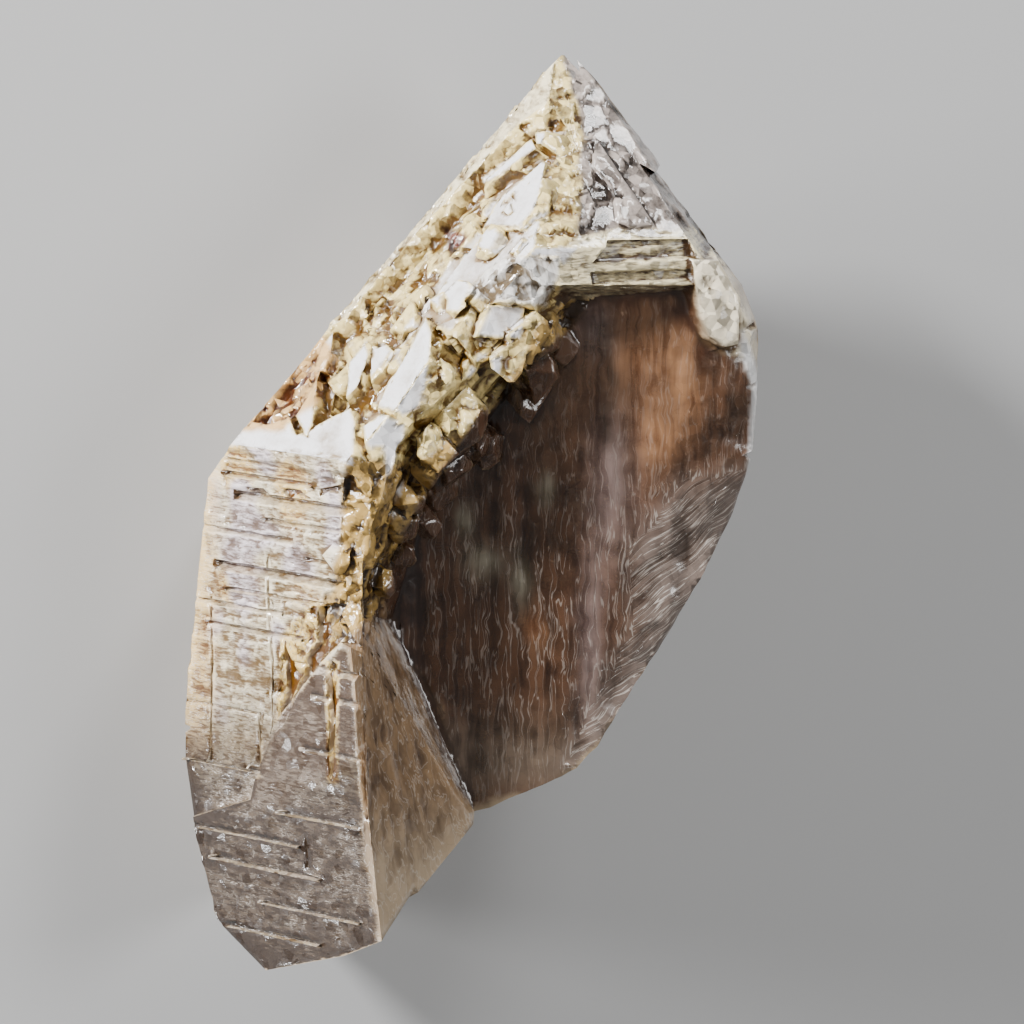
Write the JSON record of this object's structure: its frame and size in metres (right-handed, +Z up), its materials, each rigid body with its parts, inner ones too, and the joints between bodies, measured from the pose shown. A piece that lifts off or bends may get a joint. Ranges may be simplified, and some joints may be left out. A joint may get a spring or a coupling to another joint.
{
  "type": "smoky quartz crystal",
  "caption": "Natural smoky quartz crystal with a six-sided point, a stepped and hollowed left side, a broad dark contact surface and a broken foot, lying on one prism face.",
  "frame": {"origin": "centre of the bounding box, at the bottom, where the crystal rests", "axes": "+Y along the crystal's long axis towards its tip, +Z up from the prism face it lies on"},
  "size_m": [0.0554, 0.0908, 0.0375],
  "materials": {
    "smoky_quartz": "glossy crystal faces with frosted, striated and iron-stained patches"
  },
  "bodies": {
    "root": {"smoky_quartz_crystal": "smoky_quartz"}
  },
  "joints": []
}
